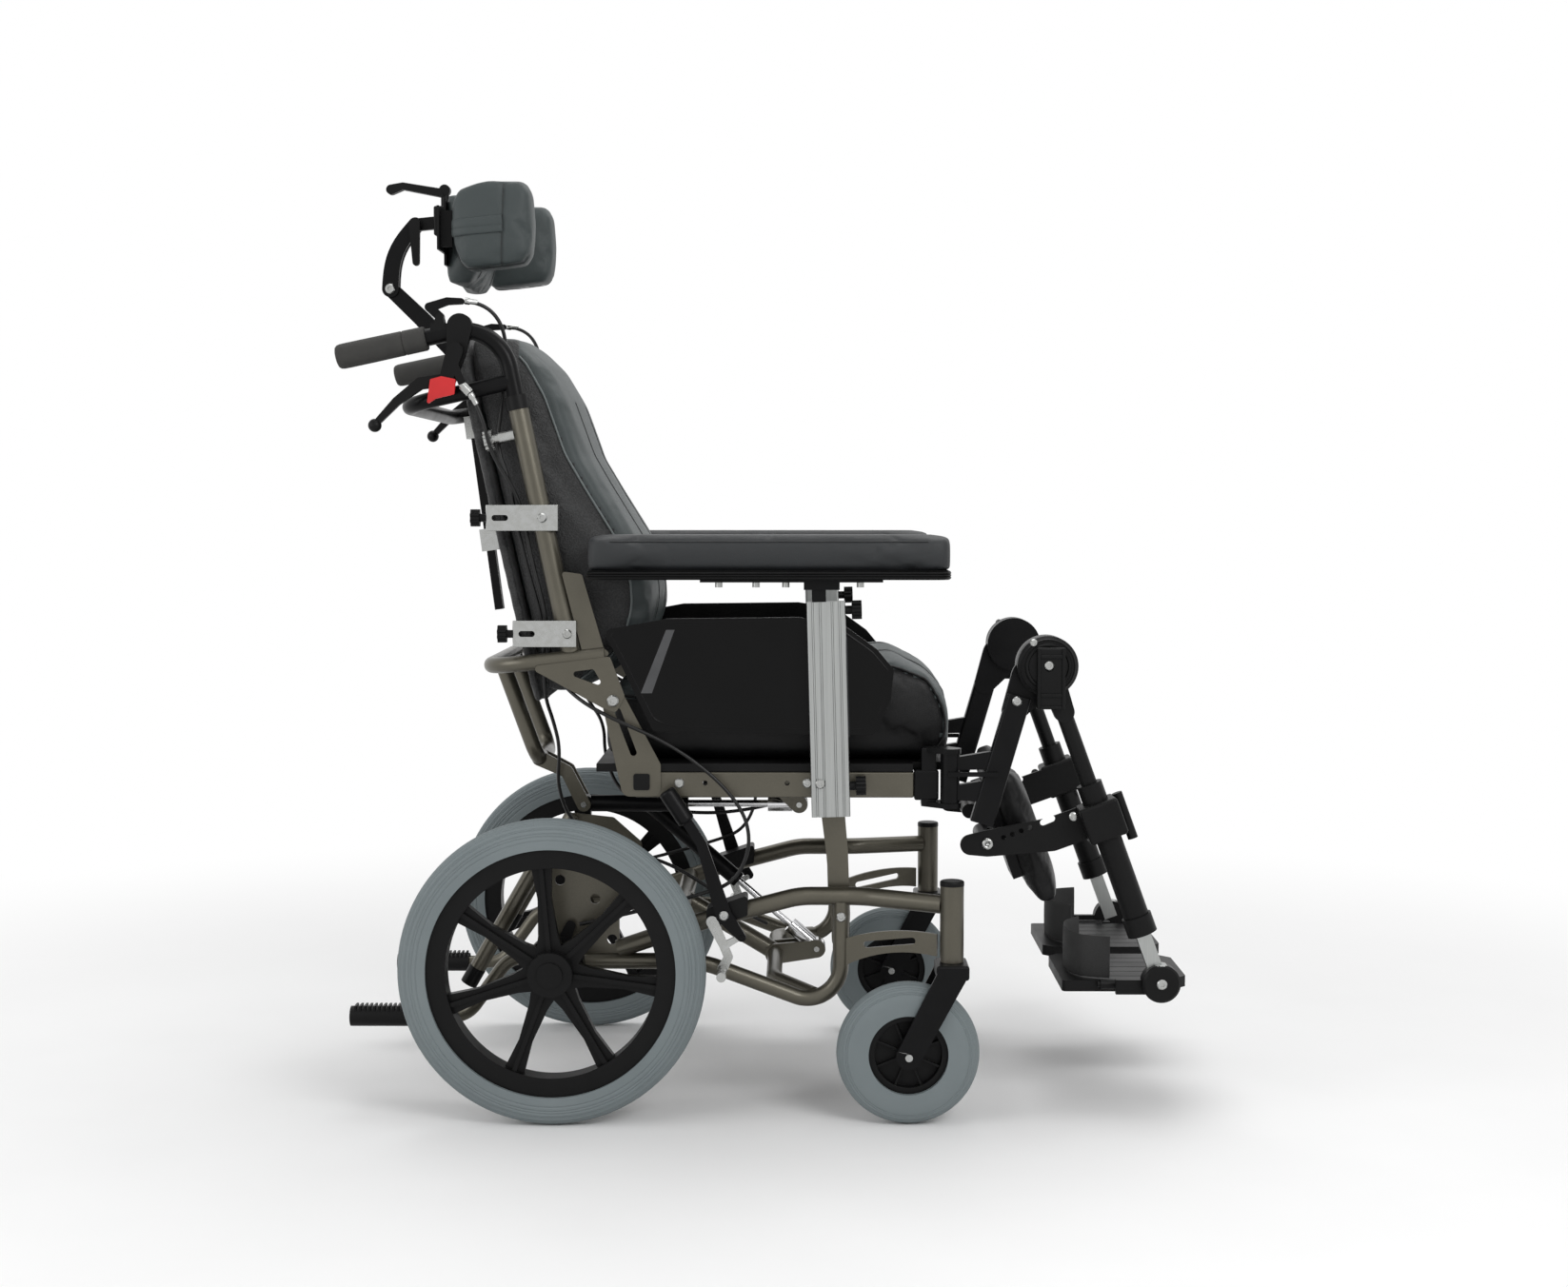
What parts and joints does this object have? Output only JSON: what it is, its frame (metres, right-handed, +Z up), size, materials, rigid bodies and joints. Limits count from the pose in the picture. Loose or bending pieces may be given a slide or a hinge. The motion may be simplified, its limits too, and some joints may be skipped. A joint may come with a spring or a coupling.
{
  "type": "tilt in space wheelchair",
  "caption": "Attendant wheelchair whose seat tilts and back reclines, with elevating legrests, adjustable armrests, headrest, drum and parking brakes.",
  "frame": {"origin": "on the floor under the middle of the wheelchair's overall box", "axes": "+X towards the footplates (forwards), +Y towards the user's left, +Z up"},
  "size_m": [1.1625, 0.62, 1.295],
  "materials": {
    "frame_coat": "metallic olive bronze powder coat",
    "black_metal": "satin black powder coat",
    "bright_metal": "satin anodised",
    "plated_steel": "zinc plated",
    "strut_metal": "dark plated cylinder and bright rod",
    "tyre_grey": "blue grey solid tyre",
    "black_plastic": "moulded, fine grain",
    "panel_plastic": "moulded side panel",
    "grip_rubber": "ribbed grip",
    "cable_rubber": "smooth outer sleeve",
    "cover_fabric": "grey green coated stretch cover",
    "pad_vinyl": "dark grey grained vinyl",
    "mesh_fabric": "spacer mesh over a moulded shell"
  },
  "bodies": {
    "base": {"base_frame": "frame_coat", "tilt_uprights": "frame_coat", "treads_and_plugs": "black_plastic", "base_bolts": "plated_steel", "brake_clamps": "black_plastic"},
    "seat": {"seat_frame": "frame_coat", "legrest_sockets": "black_metal", "seat_board": "black_plastic", "seat_cushion": "cover_fabric", "side_panels": "panel_plastic", "armrest_posts": "bright_metal", "seat_bolts": "plated_steel"},
    "tilt_rod": {"tilt_strut_rod": "strut_metal"},
    "tilt_cylinder": {"tilt_strut_cylinder": "strut_metal"},
    "recline_rod": {"recline_strut_rod": "strut_metal"},
    "recline_cylinder": {"recline_strut_cylinder": "strut_metal"},
    "back": {"back_frame": "frame_coat", "back_shell": "mesh_fabric", "back_cushion": "cover_fabric", "back_clamps": "plated_steel", "control_cables": "cable_rubber"},
    "push_handle": {"push_handles": "black_metal", "hand_grips": "grip_rubber", "lever_mounts": "black_plastic"},
    "headrest_bar": {"headrest_post": "black_metal"},
    "headrest_elbow": {"headrest_arm": "black_metal"},
    "headrest": {"headrest_clamp": "black_plastic", "headrest_pads": "cover_fabric"},
    "rear_wheel_right": {"rear_tyre_right": "tyre_grey", "rear_rim_right": "black_plastic"},
    "castor_right": {"castor_fork_right": "black_metal"},
    "castor_wheel_right": {"castor_tyre_right": "tyre_grey", "castor_rim_right": "black_plastic"},
    "parking_lever_right": {"brake_lever_right": "black_metal"},
    "parking_shoe_right": {"brake_shoe_right": "plated_steel"},
    "armrest_right": {"armrest_stem_right": "black_metal", "armrest_pad_right": "pad_vinyl"},
    "drum_lever_right": {"drum_brake_lever_right": "black_plastic"},
    "trigger_right": {"release_trigger_right": "black_metal"},
    "hanger_right": {"legrest_hanger_right": "black_metal"},
    "leg_right": {"legrest_leg_right": "black_plastic"},
    "foot_right": {"foot_tube_right": "bright_metal"},
    "plate_right": {"footplate_right": "black_plastic"},
    "calf_right": {"calf_pad_right": "pad_vinyl"},
    "rear_wheel_left": {"rear_tyre_left": "tyre_grey", "rear_rim_left": "black_plastic"},
    "castor_left": {"castor_fork_left": "black_metal"},
    "castor_wheel_left": {"castor_tyre_left": "tyre_grey", "castor_rim_left": "black_plastic"},
    "parking_lever_left": {"brake_lever_left": "black_metal"},
    "parking_shoe_left": {"brake_shoe_left": "plated_steel"},
    "armrest_left": {"armrest_stem_left": "black_metal", "armrest_pad_left": "pad_vinyl"},
    "drum_lever_left": {"drum_brake_lever_left": "black_plastic"},
    "trigger_left": {"release_trigger_left": "black_metal"},
    "hanger_left": {"legrest_hanger_left": "black_metal"},
    "leg_left": {"legrest_leg_left": "black_plastic"},
    "foot_left": {"foot_tube_left": "bright_metal"},
    "plate_left": {"footplate_left": "black_plastic"},
    "calf_left": {"calf_pad_left": "pad_vinyl"}
  },
  "joints": [
    {"name": "seat_tilt", "type": "hinge", "parent": "base", "child": "seat", "pos_m": [0.092, 0, 0.452], "axis": [0, -1, 0], "range_deg": [0, 21]},
    {"name": "tilt_strut_swing", "type": "hinge", "parent": "base", "child": "tilt_rod", "pos_m": [0.076, 0.03, 0.178], "axis": [0, -1, 0], "range_deg": [0, 11.3]},
    {"name": "tilt_strut_stroke", "type": "slide", "parent": "tilt_rod", "child": "tilt_cylinder", "axis": [0.7563, 0, -0.6543], "range_m": [0, 0.0856]},
    {"name": "back_recline", "type": "hinge", "parent": "seat", "child": "back", "pos_m": [-0.202, 0, 0.568], "axis": [0, -1, 0], "range_deg": [0, 30], "deforming": ["control_cables"]},
    {"name": "recline_strut_swing", "type": "hinge", "parent": "seat", "child": "recline_rod", "pos_m": [0.05, -0.04, 0.402], "axis": [0, -1, 0], "range_deg": [0, 2.6]},
    {"name": "recline_strut_stroke", "type": "slide", "parent": "recline_rod", "child": "recline_cylinder", "axis": [1, 0, 0], "range_m": [0, 0.0912]},
    {"name": "push_handle_height", "type": "slide", "parent": "back", "child": "push_handle", "axis": [-0.2062, 0, 0.9785], "range_m": [0, 0.09]},
    {"name": "headrest_height", "type": "slide", "parent": "back", "child": "headrest_bar", "axis": [-0.1291, 0, 0.9916], "range_m": [0, 0.1]},
    {"name": "headrest_elbow_turn", "type": "hinge", "parent": "headrest_bar", "child": "headrest_elbow", "pos_m": [-0.539, 0, 1.143], "axis": [0, 1, 0], "range_deg": [-25, 18]},
    {"name": "headrest_tilt", "type": "hinge", "parent": "headrest_elbow", "child": "headrest", "pos_m": [-0.502, 0, 1.235], "axis": [0, 1, 0], "range_deg": [-20, 20]},
    {"name": "rear_wheel_spin_right", "type": "hinge", "parent": "base", "child": "rear_wheel_right", "pos_m": [-0.282, -0.28, 0.2075], "axis": [0, 1, 0], "continuous": true},
    {"name": "castor_swivel_right", "type": "hinge", "parent": "base", "child": "castor_right", "pos_m": [0.255, -0.272, 0.25], "axis": [0, 0, 1], "continuous": true},
    {"name": "castor_spin_right", "type": "hinge", "parent": "castor_right", "child": "castor_wheel_right", "pos_m": [0.1965, -0.272, 0.0965], "axis": [0, 1, 0], "continuous": true},
    {"name": "parking_lever_turn_right", "type": "hinge", "parent": "base", "child": "parking_lever_right", "pos_m": [-0.052, -0.246, 0.278], "axis": [0, 1, 0], "range_deg": [0, 35]},
    {"name": "parking_shoe_turn_right", "type": "hinge", "parent": "base", "child": "parking_shoe_right", "pos_m": [-0.068, -0.243, 0.268], "axis": [0, 1, 0], "range_deg": [0, 11.1]},
    {"name": "armrest_height_right", "type": "slide", "parent": "seat", "child": "armrest_right", "axis": [-0.0262, 0, 0.9997], "range_m": [0, 0.08]},
    {"name": "drum_lever_turn_right", "type": "hinge", "parent": "push_handle", "child": "drum_lever_right", "pos_m": [-0.423, -0.234, 0.999], "axis": [0, 1, 0], "range_deg": [0, 20], "stiffness_Nm_per_rad": 3},
    {"name": "release_trigger_turn_right", "type": "hinge", "parent": "push_handle", "child": "trigger_right", "pos_m": [-0.434, -0.215, 1.085], "axis": [0, 1, 0], "range_deg": [0, 12], "stiffness_Nm_per_rad": 3},
    {"name": "legrest_swing_right", "type": "hinge", "parent": "seat", "child": "hanger_right", "pos_m": [0.254, -0.235, 0.46], "axis": [0, 0, -1], "range_deg": [0, 90]},
    {"name": "legrest_raise_right", "type": "hinge", "parent": "hanger_right", "child": "leg_right", "pos_m": [0.384, -0.235, 0.616], "axis": [0, -1, 0], "range_deg": [0, 65]},
    {"name": "foot_length_right", "type": "slide", "parent": "leg_right", "child": "foot_right", "axis": [0.342, 0, -0.9397], "range_m": [-0.04, 0.06]},
    {"name": "footplate_fold_right", "type": "hinge", "parent": "foot_right", "child": "plate_right", "pos_m": [0.5, -0.214, 0.1767], "axis": [1, 0, 0], "range_deg": [0, 85]},
    {"name": "calf_pad_turn_right", "type": "hinge", "parent": "leg_right", "child": "calf_right", "pos_m": [0.307, -0.21, 0.371], "axis": [0, 1, 0], "range_deg": [-25, 25]},
    {"name": "rear_wheel_spin_left", "type": "hinge", "parent": "base", "child": "rear_wheel_left", "pos_m": [-0.282, 0.28, 0.2075], "axis": [0, 1, 0], "continuous": true},
    {"name": "castor_swivel_left", "type": "hinge", "parent": "base", "child": "castor_left", "pos_m": [0.255, 0.272, 0.25], "axis": [0, 0, 1], "continuous": true},
    {"name": "castor_spin_left", "type": "hinge", "parent": "castor_left", "child": "castor_wheel_left", "pos_m": [0.1965, 0.272, 0.0965], "axis": [0, 1, 0], "continuous": true},
    {"name": "parking_lever_turn_left", "type": "hinge", "parent": "base", "child": "parking_lever_left", "pos_m": [-0.052, 0.246, 0.278], "axis": [0, 1, 0], "range_deg": [0, 35]},
    {"name": "parking_shoe_turn_left", "type": "hinge", "parent": "base", "child": "parking_shoe_left", "pos_m": [-0.068, 0.243, 0.268], "axis": [0, 1, 0], "range_deg": [0, 11.1]},
    {"name": "armrest_height_left", "type": "slide", "parent": "seat", "child": "armrest_left", "axis": [-0.0262, 0, 0.9997], "range_m": [0, 0.08]},
    {"name": "drum_lever_turn_left", "type": "hinge", "parent": "push_handle", "child": "drum_lever_left", "pos_m": [-0.423, 0.234, 0.999], "axis": [0, 1, 0], "range_deg": [0, 20], "stiffness_Nm_per_rad": 3},
    {"name": "release_trigger_turn_left", "type": "hinge", "parent": "push_handle", "child": "trigger_left", "pos_m": [-0.434, 0.215, 1.085], "axis": [0, 1, 0], "range_deg": [0, 12], "stiffness_Nm_per_rad": 3},
    {"name": "legrest_swing_left", "type": "hinge", "parent": "seat", "child": "hanger_left", "pos_m": [0.254, 0.235, 0.46], "axis": [0, 0, 1], "range_deg": [0, 90]},
    {"name": "legrest_raise_left", "type": "hinge", "parent": "hanger_left", "child": "leg_left", "pos_m": [0.384, 0.235, 0.616], "axis": [0, -1, 0], "range_deg": [0, 65]},
    {"name": "foot_length_left", "type": "slide", "parent": "leg_left", "child": "foot_left", "axis": [0.342, 0, -0.9397], "range_m": [-0.04, 0.06]},
    {"name": "footplate_fold_left", "type": "hinge", "parent": "foot_left", "child": "plate_left", "pos_m": [0.5, 0.214, 0.1767], "axis": [-1, 0, 0], "range_deg": [0, 85]},
    {"name": "calf_pad_turn_left", "type": "hinge", "parent": "leg_left", "child": "calf_left", "pos_m": [0.307, 0.21, 0.371], "axis": [0, 1, 0], "range_deg": [-25, 25]}
  ],
  "couplings": [
    {"joint": "tilt_strut_swing", "follows": "seat_tilt", "ratio": 0.533},
    {"joint": "tilt_strut_stroke", "follows": "seat_tilt", "m_per_rad": 0.2324},
    {"joint": "recline_strut_swing", "follows": "back_recline", "ratio": 0.085},
    {"joint": "recline_strut_stroke", "follows": "back_recline", "m_per_rad": 0.1732},
    {"joint": "parking_shoe_turn_right", "follows": "parking_lever_turn_right", "ratio": 0.3143},
    {"joint": "parking_shoe_turn_left", "follows": "parking_lever_turn_left", "ratio": 0.3143}
  ]
}
